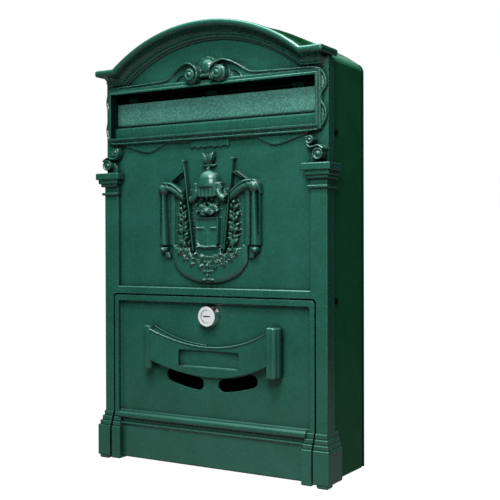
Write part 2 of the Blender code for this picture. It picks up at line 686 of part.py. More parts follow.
def make_lock_body():
    """Round head, tapered to the door, and a barrel through the door for the nut."""
    front = PANEL_Y - GAP
    body = rod("lock_body", (0, LOCK_FACE_Y, LOCK_Z), (0, front, LOCK_Z), LOCK_HEAD_RADIUS, PARTS, CHROME, 40,
               LOCK_HEAD_RADIUS + 0.9)
    weld(body, [rod("lock_barrel", (0, front - 2.0, LOCK_Z), (0, LOCK_REAR_Y, LOCK_Z), LOCK_BARREL_RADIUS,
                    segments=32)])
    carve(body, rod("lock_bore", (0, -95, LOCK_Z), (0, -60, LOCK_Z), LOCK_PLUG_RADIUS + GAP, segments=32))
    return smooth(body)


def make_lock_nut():
    nut = rod("lock_nut", (0, DOOR_BACK_Y + 1.1, LOCK_Z), (0, DOOR_BACK_Y + 3.9, LOCK_Z), 12.4,
              PARTS, STEEL, 6)
    carve(nut, rod("nut_bore", (0, -90, LOCK_Z), (0, -60, LOCK_Z), LOCK_BARREL_RADIUS + GAP, segments=32))
    return nut


def make_lock_washer():
    washer = rod("lock_washer", (0, DOOR_BACK_Y + GAP, LOCK_Z), (0, DOOR_BACK_Y + 0.8, LOCK_Z), 11.6, PARTS,
                 STEEL, 28)
    carve(washer, rod("washer_bore", (0, -90, LOCK_Z), (0, -60, LOCK_Z), LOCK_BARREL_RADIUS + GAP,
                      segments=32))
    return washer


def make_lock_plug():
    """The part that the key turns, with a keyway in its face and a square end for the cam."""
    plug = rod("lock_plug", (0, LOCK_FACE_Y + 0.5, LOCK_Z), (0, CAM_Y[0] - GAP, LOCK_Z), LOCK_PLUG_RADIUS,
               PARTS, CHROME, 32)
    weld(plug, [block("plug_square", (-2.5, 2.5), (CAM_Y[0] - 3.0, CAM_Y[1] - 0.2),
                      (LOCK_Z - 2.5, LOCK_Z + 2.5))])
    carve(plug, block("keyway", (-3.9, 3.9), (-95.0, LOCK_FACE_Y + 9.0), (LOCK_Z - 0.6, LOCK_Z + 0.6)))
    carve(plug, rod("cam_screw_bore", (0, CAM_Y[0] - 8.0, LOCK_Z), (0, -60, LOCK_Z), 1.8, segments=16))
    return smooth(plug)


def make_lock_cam():
    """A flat arm, turned aside here so that the door is free; a quarter turn puts it behind the rail."""
    turn = arc_points((0.0, LOCK_Z), 7.0, 90, 270, 9)
    tip = arc_points((CAM_REACH - 5.0, LOCK_Z), 5.0, -90, 90, 9)
    cam = prism("lock_cam", turn + tip, CAM_Y, PARTS, STEEL)
    hole = 2.5 + GAP
    carve(cam, block("cam_square_hole", (-hole, hole), (-90.0, -60.0), (LOCK_Z - hole, LOCK_Z + hole)))
    return cam


def make_cam_screw():
    head_y = CAM_Y[1] + 1.0 + GAP
    screw = rod("cam_screw", (0, head_y, LOCK_Z), (0, head_y + 2.0, LOCK_Z), 3.2, PARTS, STEEL, 20)
    weld(screw, [rod("cam_screw_shank", (0, CAM_Y[0] - 6.0, LOCK_Z), (0, head_y + 0.6, LOCK_Z), 1.5,
                     segments=16)])


def make_cam_washer():
    washer = rod("cam_washer", (0, CAM_Y[1] + GAP, LOCK_Z), (0, CAM_Y[1] + 1.0, LOCK_Z), 4.6,
                 PARTS, BRASS, 20)
    carve(washer, rod("cam_washer_bore", (0, -90, LOCK_Z), (0, -60, LOCK_Z), 1.8, segments=16))
    return washer


def main():
    make_body_shell()
    make_back_plate()
    make_bottom_plate()
    make_front_frame()
    make_side_screws()
    make_emblem()
    make_slot_flap()
    make_flap_hinge_rod()
    make_door_panel()
    make_name_banner()
    for side in (1, -1):
        make_stud(f"emblem_rivet_{side_word(side)}", side * STUD_X[0], STUD_Z[0], -78.9, PLATE_BACK_Y)
        make_stud(f"banner_screw_{side_word(side)}", side * STUD_X[1], STUD_Z[1], -81.3, DOOR_BACK_Y)
        make_flap_rod_clip(side)
        make_door_hinge_pin(side)
    make_lock_body()
    make_lock_nut()
    make_lock_washer()
    make_lock_plug()
    make_lock_cam()
    make_cam_screw()
    make_cam_washer()


main()
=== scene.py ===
"""Looks for the wall mailbox: powder coat, relief ornament, lock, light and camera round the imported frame.

Lengths named here are millimetres in the model's own frame: X to the right, Y into the wall and Z up
from the body's underside, which lies UNDERSIDE below the world's origin.
"""

import json
import math

import bmesh
import bpy
import numpy as np
from mathutils import Matrix, Vector


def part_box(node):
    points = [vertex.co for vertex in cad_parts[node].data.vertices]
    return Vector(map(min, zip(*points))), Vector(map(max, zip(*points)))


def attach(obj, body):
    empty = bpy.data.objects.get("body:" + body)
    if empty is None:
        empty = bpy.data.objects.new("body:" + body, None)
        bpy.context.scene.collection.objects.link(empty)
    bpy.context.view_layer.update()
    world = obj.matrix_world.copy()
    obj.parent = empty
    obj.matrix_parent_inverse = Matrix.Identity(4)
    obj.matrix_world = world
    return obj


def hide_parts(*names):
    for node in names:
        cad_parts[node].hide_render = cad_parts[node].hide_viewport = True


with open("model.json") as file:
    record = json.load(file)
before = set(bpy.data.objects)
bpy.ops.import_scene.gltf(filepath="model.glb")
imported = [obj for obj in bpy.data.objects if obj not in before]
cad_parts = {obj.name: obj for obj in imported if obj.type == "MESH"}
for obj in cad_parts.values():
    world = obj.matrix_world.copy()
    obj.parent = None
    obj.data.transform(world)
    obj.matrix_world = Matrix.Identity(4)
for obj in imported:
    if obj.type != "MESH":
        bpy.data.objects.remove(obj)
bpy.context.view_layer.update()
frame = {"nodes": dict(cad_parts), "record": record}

MM = 0.001
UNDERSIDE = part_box("bottom_plate")[0].z / MM

# Planes of the castings, in the model's frame
FIELD_Y = -77.3               # the casting's field, which the ornament grows from
PANEL_Y = -77.0               # the door's sunk panel

# Relief
BURIED = -1.2                 # how far a relief's rim reaches into the face it grows from
BACK_DEPTH = 1.56             # how far its flat back lies inside that face
STEP = 0.5                    # spacing of a relief's grid
FINE_STEP = 0.45              # spacing of the emblem's grid
SKIRT_SLOPE = 2.0             # how steeply a relief falls beside its outline
CREASE = 75                   # degrees; sharper edges of a relief stay sharp


# ---------------------------------------------------------------- mesh helpers

def link(name, mesh, finish):
    """A new object of that mesh in the scene, with its finish."""
    item = bpy.data.objects.new(name, mesh)
    bpy.context.scene.collection.objects.link(item)
    mesh.materials.append(finish)
    return item


def smooth(item, degrees):
    """Shade smooth, except at edges sharper than that angle."""
    item.data.shade_smooth()
    item.data.set_sharp_from_angle(angle=math.radians(degrees))
    return item


def flow(points, per):
    """A smooth line through the points (Catmull-Rom), with that many steps between two of them."""
    pts = [Vector(p) for p in points]
    pts = [pts[0]] + pts + [pts[-1], pts[-1]]
    line = []
    for a, b, c, d in zip(pts, pts[1:], pts[2:], pts[3:]):
        for i in range(per):
            t = i / per
            line.append(0.5 * (2 * b + (c - a) * t + (2 * a - 5 * b + 4 * c - d) * t ** 2
                               + (3 * b - a - 3 * c + d) * t ** 3))
    line.append(pts[-1])
    return [tuple(p) for p in line]


def half_round(distance, width, power=2):
    """A bead's height, 1 on its crest and 0 at that half width; a high power gives a flat top."""
    return np.sqrt(np.clip(1 - (distance / width) ** power, 0, 1))


def quarter_round(depth, width):
    """The height of an edge that rounds up from 0 to 1 over that width inside its outline."""
    return np.sqrt(1 - (1 - np.clip(depth / width, 0, 1)) ** 2)


class Relief:
    """A height field over the XZ plane: raised shapes that grow out of the field, the same left and right."""

    def __init__(self, half_width, zs, step=STEP):
        self.place_x, self.Z = np.meshgrid(np.arange(-half_width, half_width + step / 2, step),
                                           np.arange(zs[0], zs[1] + step / 2, step))
        self.X = np.abs(self.place_x)
        self.h = np.full(self.X.shape, BURIED)

    def add(self, height):
        """Raise the field to a height where it is lower."""
        self.h = np.maximum(self.h, height)

    def to_line(self, points):
        """Distance to an open line, and how far along it the nearest point is, from 0 to 1."""
        best = np.full(self.X.shape, np.inf)
        along = np.zeros(self.X.shape)
        runs = [math.dist(a, b) for a, b in zip(points, points[1:])]
        whole = sum(runs)
        done = 0.0
        for (ax, az), (bx, bz), run in zip(points, points[1:], runs):
            if run == 0:
                continue
            t = ((self.X - ax) * (bx - ax) + (self.Z - az) * (bz - az)) / run ** 2
            t = np.clip(t, 0, 1)
            d = np.hypot(self.X - ax - t * (bx - ax), self.Z - az - t * (bz - az))
            near = d < best
            best = np.where(near, d, best)
            along = np.where(near, (done + t * run) / whole, along)
            done += run
        return best, along

    def inside(self, outline):
        """Signed distance to a closed outline, negative inside."""
        d, _ = self.to_line(list(outline) + [outline[0]])
        odd = np.zeros(self.X.shape, bool)
        for (ax, az), (bx, bz) in zip(outline, outline[1:] + outline[:1]):
            if az == bz:
                continue
            crosses = ((az > self.Z) != (bz > self.Z)) & (self.X < (bx - ax) * (self.Z - az) / (bz - az) + ax)
            odd ^= crosses
        return np.where(odd, -d, d)

    def cord(self, points, radius, height, end_radius=None, end_height=None, base=0.0):
        """A half-round ridge along a line, which may taper."""
        d, t = self.to_line(points)
        r = radius + ((radius if end_radius is None else end_radius) - radius) * t
        top = height + ((height if end_height is None else end_height) - height) * t
        round_top = base + (top - base) * half_round(d, r)
        self.add(np.where(d < r, round_top, -SKIRT_SLOPE * (d - r) if base == 0 else BURIED))

    def ball(self, x, z, radius, height, base=0.0):
        """A round knob."""
        d = np.hypot(self.X - x, self.Z - z)
        self.add(np.where(d < radius, base + (height - base) * half_round(d, radius), BURIED))

    def ring(self, x, z, radius, width, height, base=0.0):
        """A half-round ring; width is half its breadth."""
        d = np.abs(np.hypot(self.X - x, self.Z - z) - radius)
        self.add(np.where(d < width, base + (height - base) * half_round(d, width), BURIED))

    def plate(self, outline, height, edge):
        """A flat plate with a quarter-round edge; returns the signed distance to its outline."""
        d = self.inside(outline)
        self.add(np.where(d < 0, height * quarter_round(-d, edge), -SKIRT_SLOPE * d))
        return d

    def sink(self, mask, height):
        """Cut the field down to a height where the mask says."""
        self.h = np.where(mask, np.minimum(self.h, height), self.h)

    def leaf(self, x, z, length, width, angle, height, base=0.0, vein=0.35):
        """A pointed leaf with a groove down its middle; angle in degrees from +X towards +Z."""
        a = math.radians(angle)
        u = (self.X - x) * math.cos(a) + (self.Z - z) * math.sin(a)
        v = -(self.X - x) * math.sin(a) + (self.Z - z) * math.cos(a)
        t = np.clip(u / length, 0, 1)
        half = width / 2 * np.sin(math.pi * t ** 0.8) + 1e-6
        groove = vein * np.exp(-(v / (0.16 * width)) ** 2)
        arch = 0.55 + 0.45 * np.sin(math.pi * t)
        top = base + (height - base) * half_round(v, half) * (1 - groove) * arch
        inside = (np.abs(v) < half) & (u > 0) & (u < length)
        self.add(np.where(inside, top, BURIED))

    def relax(self):
        """Soften the field as a casting's surface is soft: half of each point comes from its neighbours."""
        p = np.pad(self.h, 1, mode="edge")
        near = p[:-2, 1:-1] + p[2:, 1:-1] + p[1:-1, :-2] + p[1:-1, 2:]
        self.h = 0.5 * self.h + 0.125 * near

    def kept_cells(self):
        """The grid cells that stand out of the face, with no two that meet only at a corner."""
        up = self.h > BURIED * 0.5
        cell = up[:-1, :-1] | up[1:, :-1] | up[:-1, 1:] | up[1:, 1:]
        for _ in range(6):
            a, b, c, d = cell[:-1, :-1], cell[:-1, 1:], cell[1:, :-1], cell[1:, 1:]
            pinched = (a & d & ~b & ~c) | (b & c & ~a & ~d)
            a |= pinched
            b |= pinched
            c |= pinched
            d |= pinched
        return cell

    def build(self, name):
        """A closed mesh of the field where it stands out of the face, with a flat back inside the face."""
        self.relax()
        cell = self.kept_cells()
        rows, cols = self.h.shape
        index = np.arange(rows * cols).reshape(rows, cols)
        quads = np.stack([index[:-1, :-1], index[:-1, 1:], index[1:, 1:], index[1:, :-1]], -1)[cell]
        used = np.unique(quads)
        lookup = np.full(rows * cols, -1)
        lookup[used] = np.arange(len(used))
        quads = lookup[quads]
        x = self.place_x.ravel()[used]
        z = self.Z.ravel()[used] + UNDERSIDE
        front = np.stack([x, FIELD_Y - self.h.ravel()[used], z], -1)
        edges = np.concatenate([quads[:, [0, 1]], quads[:, [1, 2]], quads[:, [2, 3]], quads[:, [3, 0]]])
        _, first, times = np.unique(np.sort(edges, 1), axis=0, return_index=True, return_counts=True)
        rim = edges[first[times == 1]]
        rim_points = np.unique(rim)
        back = np.stack([x[rim_points], np.full(len(rim_points), FIELD_Y + BACK_DEPTH), z[rim_points]], -1)
        behind = np.full(len(used), -1)
        behind[rim_points] = len(used) + np.arange(len(rim_points))
        walls = np.stack([rim[:, 1], rim[:, 0], behind[rim[:, 0]], behind[rim[:, 1]]], -1)
        mesh = bpy.data.meshes.new(name)
        points = np.concatenate([front, back]) * MM
        mesh.from_pydata(points.tolist(), [], np.concatenate([quads, walls]).tolist())
        shape = bmesh.new()
        shape.from_mesh(mesh)
        open_rim = [edge for edge in shape.edges if edge.is_boundary]
        bmesh.ops.triangle_fill(shape, edges=open_rim, use_beauty=False)
        bmesh.ops.recalc_face_normals(shape, faces=shape.faces)
        shape.to_mesh(mesh)
        shape.free()
        item = smooth(link(name, mesh, CAST), CREASE)
        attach(item, "case")
        return item


# ---------------------------------------------------------------- materials

# Noise scales, in cells to the metre
MOTTLE_SCALE = 40.0
SPECK_SCALE = 420.0
COARSE_SPECK_SCALE = 620.0
PEEL_SCALE = 1300.0
SWELL_SCALE = 150.0
BRUSH_SCALE = 700.0
CLOUD_SCALE = 90.0

# Depths and reaches, in metres
PEEL_DEPTH = 0.00006                              # fine orange peel of the enamel
SWELL_DEPTH = 0.0002                              # slow unevenness of the casting under it
BRUSH_DEPTH = 0.00002                             # brushed streaks of plated metal
SOFT_EDGE = 0.0008                                # radius to which the enamel rounds sharp edges
METAL_CREVICE = 0.003                             # width of the crevices that get painted shade in metal

# Each range says: from the first number to the second, the result goes from the third to the fourth. A range
# of two numbers gets its results where it is used. Directions and places are the object's own, and the
# occlusion is 1 in the open.
# Painted shade: the enamel is darkened where the occlusion within each reach is low.
ENAMEL_CREVICE_SHADE = ((0.008, (0.20, 0.85, 0.22, 1.0)), (0.045, (0.12, 0.60, 0.10, 1.0)))
METAL_CREVICE_SHADE = (0.2, 0.8, 0.05, 1.0)
IN_THE_OPEN = (0.60, 0.90, 0.0, 1.0)
ROOF_LIGHT_FACING = (0.12, 0.45)                           # a normal's Z on upward faces that get painted light
UNDER_LEDGE_SHADE = (-0.55, -0.08, 0.30, 1.0)         # a normal's Z under a ledge, where shade is painted
SHADED_RIGHTWARD = (0.55, 0.9)                           # a normal's X on a face to the right, which gets painted shade
EDGE_UP = (0.35, 0.72)                            # an upper edge's normal under the painted highlight: Z,
EDGE_OUT = (-0.35, -0.60, 0.0, 1.0)               # Y
EDGE_ACROSS = (-0.6, -0.1, 0.25, 1.0)             # and X
CORNER_ACROSS = (0.3, 0.6)                        # an upright corner's normal under a fainter painted highlight: X
CORNER_OUT = (-0.45, -0.65, 0.0, 1.0)             # and Y
ALONG_THE_FRONT = (-0.12, 0.09, 0.30, 1.0)        # places from left to right; the painted highlight grows to the right
ABOVE_THE_FOOT = (-0.150, -0.112, 0.40, 1.0)      # places from low to high; the painted highlight is fainter low down
CORNER_SHARE = 0.1                                # a corner's painted highlight beside an upper edge's
CALM_SHARE = 0.1                                  # what is left of the painted highlight in a calm place
# The plating's front face is hardly metallic and shows near white: a painted reflection.
WHITE_REFLECTION_FACE = (-0.97, -0.8, 0.06, 1.0)             # how metallic plating is, from its front face to its side

COAT_ROUGHNESS = 0.10
DEEP_SHADE = (0.0025, 0.011, 0.009)


class Graph:
    """Short calls for building one material's nodes."""

    def __init__(self, name):
        self.material = bpy.data.materials.new(name)
        self.material.use_nodes = True
        self.tree = self.material.node_tree
        self.shader = self.tree.nodes["Principled BSDF"]

    def node(self, kind, **settings):
        item = self.tree.nodes.new(kind)
        for key, value in settings.items():
            setattr(item, key, value)
        return item

    def join(self, source, target):
        self.tree.links.new(source, target)

    def noise(self, place, scale, detail=4.0, roughness=0.55, distortion=0.0):
        item = self.node("ShaderNodeTexNoise")
        item.inputs["Scale"].default_value = scale
        item.inputs["Detail"].default_value = detail
        item.inputs["Roughness"].default_value = roughness
        item.inputs["Distortion"].default_value = distortion
        self.join(place, item.inputs["Vector"])
        return item.outputs["Fac"]

    def remap(self, value, low, high, to_low, to_high):
        item = self.node("ShaderNodeMapRange")
        for slot, number in zip(("From Min", "From Max", "To Min", "To Max"), (low, high, to_low, to_high)):
            item.inputs[slot].default_value = number
        self.join(value, item.inputs["Value"])
        return item.outputs["Result"]

    def mix(self, factor, first, second, blend="MIX"):
        item = self.node("ShaderNodeMix", data_type="RGBA", blend_type=blend)
        for socket, value in zip((item.inputs[0], item.inputs[6], item.inputs[7]), (factor, first, second)):
            if isinstance(value, (int, float)):
                socket.default_value = value
            elif isinstance(value, tuple):
                socket.default_value = (*value, 1.0)
            else:
                self.join(value, socket)
        return item.outputs[2]

    def maths(self, operation, first, second):
        item = self.node("ShaderNodeMath", operation=operation)
        self.join(first, item.inputs[0])
        self.join(second, item.inputs[1])
        return item.outputs[0]

    def product(self, first, second):
        return self.maths("MULTIPLY", first, second)

    def sum(self, first, second):
        return self.maths("ADD", first, second)

    def parts(self, vector):
        """The X, Y and Z of a vector."""
        item = self.node("ShaderNodeSeparateXYZ")
        self.join(vector, item.inputs[0])
        return item.outputs

    def occlusion(self, reach):
        """How open a place is within that reach, 1 in the open."""
        item = self.node("ShaderNodeAmbientOcclusion", samples=6)
        item.inputs["Distance"].default_value = reach
        return item.outputs["AO"]

    def darken(self, tone, factor):
        return self.mix(1.0, tone, factor, "MULTIPLY")

    def bump(self, height, strength, distance, normal=None):
        item = self.node("ShaderNodeBump")
        item.inputs["Strength"].default_value = strength
        item.inputs["Distance"].default_value = distance
        self.join(height, item.inputs["Height"])
        if normal:
            self.join(normal, item.inputs["Normal"])
        return item.outputs["Normal"]


def box_mask(g, place, lows, highs):
    """One inside a box of object coordinates, nought outside it."""
    parts = g.parts(place)
    inside = None
    for axis, low, high in zip("XYZ", lows, highs):
        near = g.node("ShaderNodeMath", operation="COMPARE")
        g.join(parts[axis], near.inputs[0])
        near.inputs[1].default_value = (low + high) / 2
        near.inputs[2].default_value = (high - low) / 2
        inside = near.outputs[0] if inside is None else g.product(inside, near.outputs[0])
    return inside


def boxes_mask(g, place, boxes):
    """One inside any of the boxes, or None where there are no boxes."""
    mask = None
    for lows, highs in boxes:
        inside = box_mask(g, place, lows, highs)
        mask = inside if mask is None else g.sum(mask, inside)
    return mask


def object_normal(g, normal):
    """The three parts of a world normal, turned into the object's own frame."""
    turned = g.node("ShaderNodeVectorTransform", vector_type="NORMAL", convert_from="WORLD",
                    convert_to="OBJECT")
    g.join(normal, turned.inputs[0])
    return g.parts(turned.outputs[0])


def painted_edge_highlight(g, place, normal, in_the_open, strength, calm):
    """How much a painted highlight lightens an edge: upper edges, and a little the corners to the right."""
    x, y, z = normal
    upper = g.product(g.remap(z, *EDGE_UP, 0.0, strength), g.remap(y, *EDGE_OUT))
    upper = g.product(upper, g.remap(x, *EDGE_ACROSS))
    corner = g.product(g.remap(x, *CORNER_ACROSS, 0.0, strength * CORNER_SHARE), g.remap(y, *CORNER_OUT))
    spot = g.parts(place)
    lit = g.product(g.sum(upper, corner), g.remap(spot["X"], *ALONG_THE_FRONT))
    lit = g.product(lit, g.remap(spot["Z"], *ABOVE_THE_FOOT))
    lit = g.product(lit, in_the_open)
    if calm:
        lit = g.product(lit, g.remap(boxes_mask(g, place, calm), 0.0, 1.0, 1.0, CALM_SHARE))
    return lit


def powder_coat(name, dark, light, edge, roughness, grain=PEEL_SCALE, grain_depth=PEEL_DEPTH, gloss=0.5,
                speckle=0.4, sparkle=1.35, coat=0.0, highlight_strength=0.0, right_face_shade=1.0, roof=0.0,
                shades=(), calm=()):
    """Baked enamel: mottled, painted shade in crevices and under ledges, painted light on upper edges or
    roofs.

    right_face_shade is the tone and gloss that painted shade leaves on faces to the right, and roof is how
    far upward faces take the edge's colour as painted light; edge is also the colour of the painted
    highlight.
    shades are boxes that the light never reaches, painted DEEP_SHADE, and calm ones have little painted
    highlight.
    """
    g = Graph(name)
    place = g.node("ShaderNodeTexCoord").outputs["Object"]
    patches = g.noise(place, MOTTLE_SCALE, 5.0, 0.55, 0.3)
    specks = g.noise(place, SPECK_SCALE if speckle < 0.5 else COARSE_SPECK_SCALE, 3.0, 0.6)
    tone = g.mix(g.remap(patches, 0.30, 0.70, 0.0, 1.0), dark, light)
    bright = tuple(min(1.0, c * sparkle) for c in light)
    tone = g.mix(g.remap(specks, 0.46, 0.70, 0.0, speckle), tone, bright)
    rounded = g.node("ShaderNodeBevel", samples=4)
    rounded.inputs["Radius"].default_value = SOFT_EDGE
    normal = object_normal(g, rounded.outputs["Normal"])
    # Painted light: upward faces take the edge colour.
    if roof:
        tone = g.mix(g.remap(normal["Z"], *ROOF_LIGHT_FACING, 0.0, roof), tone, edge)
    # Painted shade in crevices and deep recesses, from the occlusion.
    openness = [(g.occlusion(reach), darkening) for reach, darkening in ENAMEL_CREVICE_SHADE]
    for occlusion, darkening in openness:
        tone = g.darken(tone, g.remap(occlusion, *darkening))
    # Painted shade under ledges, on faces that look down.
    tone = g.darken(tone, g.remap(normal["Z"], *UNDER_LEDGE_SHADE))
    # Painted shade on faces to the right; the share of light left also lowers their gloss and coat.
    painted_light_share = None
    if right_face_shade < 1:
        painted_light_share = g.remap(normal["X"], *SHADED_RIGHTWARD, 1.0, right_face_shade)
        tone = g.darken(tone, painted_light_share)
    # Painted highlights on upper edges, in the edge colour.
    if highlight_strength:
        in_the_open = g.remap(openness[0][0], *IN_THE_OPEN)
        tone = g.mix(painted_edge_highlight(g, place, normal, in_the_open, highlight_strength, calm), tone, edge)
    # Painted shade in the shade boxes, which also lose their gloss.
    mask = boxes_mask(g, place, shades)
    if mask:
        tone = g.mix(mask, tone, DEEP_SHADE)
        lit = g.remap(mask, 0.0, 1.0, 1.0, 0.0)
        painted_light_share = g.product(painted_light_share, lit) if painted_light_share else lit
    for socket, most in (("Specular IOR Level", gloss), ("Coat Weight", coat)):
        g.shader.inputs[socket].default_value = most
        if painted_light_share and most:
            g.join(g.remap(painted_light_share, 0.0, 1.0, 0.0, most), g.shader.inputs[socket])
    g.shader.inputs["Coat Roughness"].default_value = COAT_ROUGHNESS
    g.join(tone, g.shader.inputs["Base Color"])
    g.join(g.remap(specks, 0.35, 0.7, roughness - 0.05, roughness + 0.07), g.shader.inputs["Roughness"])
    peel = g.bump(g.noise(place, grain, 2.0, 0.5), 0.5, grain_depth, rounded.outputs["Normal"])
    swell = g.noise(place, SWELL_SCALE, 2.0, 0.5)
    g.join(g.bump(swell, 0.35, SWELL_DEPTH, peel), g.shader.inputs["Normal"])
    return g.material


def metal(name, colour, roughness, painted_reflection=False, shades=()):
    """Plated metal: fine brushed streaks, a slightly uneven gloss, and painted shade in crevices
    and shade boxes; with painted_reflection the front face is near white, a painted reflection.
    """
    g = Graph(name)
    texture = g.node("ShaderNodeTexCoord")
    place = texture.outputs["Object"]
    streaks = g.noise(place, BRUSH_SCALE, 3.0, 0.6)
    cloud = g.noise(place, CLOUD_SCALE, 4.0, 0.6)
    tone = g.mix(g.remap(cloud, 0.35, 0.65, 0.0, 1.0), tuple(c * 0.86 for c in colour), colour)
    # Painted shade in the metal's crevices.
    tone = g.darken(tone, g.remap(g.occlusion(METAL_CREVICE), *METAL_CREVICE_SHADE))
    # Painted shade in the shade boxes.
    mask = boxes_mask(g, place, shades)
    if mask:
        tone = g.mix(mask, tone, DEEP_SHADE)
    g.join(tone, g.shader.inputs["Base Color"])
    g.shader.inputs["Metallic"].default_value = 1.0
    # Painted reflection: the front face is near-white diffuse rather than metal.
    if painted_reflection:
        normal = g.parts(texture.outputs["Normal"])
        g.join(g.remap(normal["Y"], *WHITE_REFLECTION_FACE), g.shader.inputs["Metallic"])
    g.join(g.remap(streaks, 0.3, 0.7, roughness * 0.8, roughness * 1.35), g.shader.inputs["Roughness"])
    g.join(g.bump(streaks, 0.15, BRUSH_DEPTH), g.shader.inputs["Normal"])
    return g.material


# Boxes in the object's coordinates, in metres
# OVER_FLAP and LEFT_CHEEK get painted shade, DEEP_SHADE; SLOT_RECESS keeps little painted highlight.
OVER_FLAP = ((-0.1145, -0.0835, 0.1492), (0.1145, -0.030, 0.1600))
SLOT_RECESS = ((-0.1145, -0.0835, 0.1150), (0.1145, -0.030, 0.1600))
LEFT_CHEEK = ((-0.1145, -0.0835, 0.1140), (-0.1115, -0.030, 0.1600))

# The cast's edge colour is its painted highlight.
CAST = powder_coat("cast_powder_coat", dark=(0.0135, 0.092, 0.060), light=(0.0195, 0.118, 0.084),
                   edge=(0.30, 0.66, 0.55), roughness=0.26, speckle=0.25, coat=0.3, highlight_strength=0.85,
                   right_face_shade=0.6, shades=(OVER_FLAP, LEFT_CHEEK), calm=(SLOT_RECESS,))
# The sheet's edge colour is the painted light on its upward faces.
SHEET = powder_coat("sheet_powder_coat", dark=(0.005, 0.059, 0.021), light=(0.0085, 0.079, 0.031),
                    edge=(0.045, 0.20, 0.115), roughness=0.5, gloss=0.1, roof=0.9)
FLAP = powder_coat("flap_wrinkle_coat", dark=(0.030, 0.135, 0.102), light=(0.060, 0.195, 0.155),
                   edge=(0.10, 0.30, 0.24), roughness=0.42, grain=760.0, grain_depth=0.0011,
                   speckle=0.9, sparkle=1.9, shades=(OVER_FLAP,))
# The lock's near-white front face is a painted reflection.
CHROME = metal("lock_chrome", (0.96, 0.95, 0.97), 0.16, painted_reflection=True)
ZINC = metal("zinc_plated_steel", (0.56, 0.56, 0.54), 0.34, shades=(OVER_FLAP,))
BRASS = metal("lock_brass", (0.70, 0.52, 0.24), 0.28)
DARK = metal("dark_screw_steel", (0.004, 0.008, 0.006), 0.6)

FINISHES = {"cast_paint": CAST, "sheet_paint": SHEET, "flap_paint": FLAP, "lock_chrome": CHROME,
            "zinc_steel": ZINC, "dark_steel": DARK, "brass": BRASS}


def finish_cad_nodes():
    """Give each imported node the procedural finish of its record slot."""
    for part in frame["record"]["subparts"]:
        materials = frame["nodes"][part["node"]].data.materials
        materials.clear()
        materials.append(FINISHES[part["material_slot"]])


# ---------------------------------------------------------------- relief ornament
#
# Every ornament is the same left and right, so its outlines are given for X from 0 up. They start at
# PAST_MIDDLE, a little beyond the middle. Heights are measured from the field.

PAST_MIDDLE = -6.0

STRAP_HEIGHT = 4.2
STRAP_END = (113.0, 9.0, 2.8)         # beyond this X it sinks, over this length, by this much
BEAD_HALF_WIDTH = 1.25
BEAD_CROWN = (-0.4, 2.1)              # the bead's foot, from the strap's surface, and its height from there
SLOT_FRAME = (115.4, 313.0, 359.0)    # right edge, lower edge and upper edge of the opening in the strapwork
SCROLL = (15.2, 367.8)
SCROLL_RADIUS = 8.8
SCROLL_HEIGHT = 10.4
SCROLL_CLIMB = (7.4, 8.0, 0.45)       # height of the bead over the strap, up to this distance, and its slope
PANEL = (26.6, 361.8)                 # corner of the sunk quarter-round panel
PANEL_SIZE = (10.6, 8.4)
PANEL_RIM = (0.97, 0.08)              # middle and half width of its rim, as shares of its size
SHELL = (374.4, 371.0, 11.0)          # Z of its middle, Z where its ribs meet, and its radius
BEAD_LINE = ((8.4, 362.6), (6.9, 367.0), (8.0, 372.6), (12.4, 377.0), (19.4, 379.6), (27.2, 377.8),
             (35.6, 373.4), (44.0, 367.7), (52.0, 365.9), (62.0, 365.4), (88.0, 364.6), (108.0, 364.2),
             (116.0, 362.6), (120.4, 358.4), (122.2, 352.0), (121.4, 346.8), (118.6, 342.4), (117.6, 337.8),
             (118.8, 333.0), (121.4, 328.6), (122.2, 322.8), (120.4, 316.2), (116.2, 311.4), (108.0, 309.2),
             (60.0, 309.0), (PAST_MIDDLE, 309.0))


def crest_strap(field, from_scroll):
    """Flat strapwork with a beaded edge, which climbs towards the scroll."""
    line = flow(BEAD_LINE, 7)
    start, length, fall = STRAP_END
    surface = STRAP_HEIGHT - fall * np.clip((field.X - start) / length, 0, 1)
    field.plate(line + [(PAST_MIDDLE, BEAD_LINE[0][1])], surface, 0.8)
    most, reach, slope = SCROLL_CLIMB
    above_frame = field.Z > SLOT_FRAME[2] + 1.0
    climb = np.where(above_frame, np.clip(most - slope * (from_scroll - reach), 0, most), 0.0)
    bead, _ = field.to_line(line)
    foot, height = BEAD_CROWN
    crown = surface + climb + foot + height * half_round(bead, BEAD_HALF_WIDTH)
    field.add(np.where(bead < BEAD_HALF_WIDTH, crown, BURIED))
    field.sink((field.X < 6.0) & (field.Z > SLOT_FRAME[2]), 2.4)


def crest_panel(field):
    """A sunk quarter-round panel with a fine rim, beside the scroll."""
    x, z = PANEL
    wide, high = PANEL_SIZE
    share = np.hypot((field.X - x) / wide, (field.Z - z) / high)
    beside = (field.X > x) & (field.Z > z)
    field.sink(beside & (share < 0.90), 2.6)
    middle, width = PANEL_RIM
    from_rim = np.abs(share - middle)
    field.add(np.where(beside & (from_rim < width), STRAP_HEIGHT + 0.7 * half_round(from_rim, width), BURIED))


def crest_shell(field):
    """A ribbed shell behind a ball, with a rod from scroll to scroll below."""
    middle, foot, radius = SHELL
    ribs = np.abs(np.sin(np.arctan2(field.Z - foot, field.X + 0.001) * 7.0))
    scalloped = np.hypot(field.X, field.Z - middle) < radius - 0.5 * (1 - ribs)
    field.add(np.where(scalloped & (field.Z > foot - 2.0), STRAP_HEIGHT + 0.6 * ribs, BURIED))
    field.ball(0.0, middle - 0.4, 9.2, 8.8)
    field.cord([(-1.0, 366.8), (7.0, 366.8)], 2.7, 8.0)


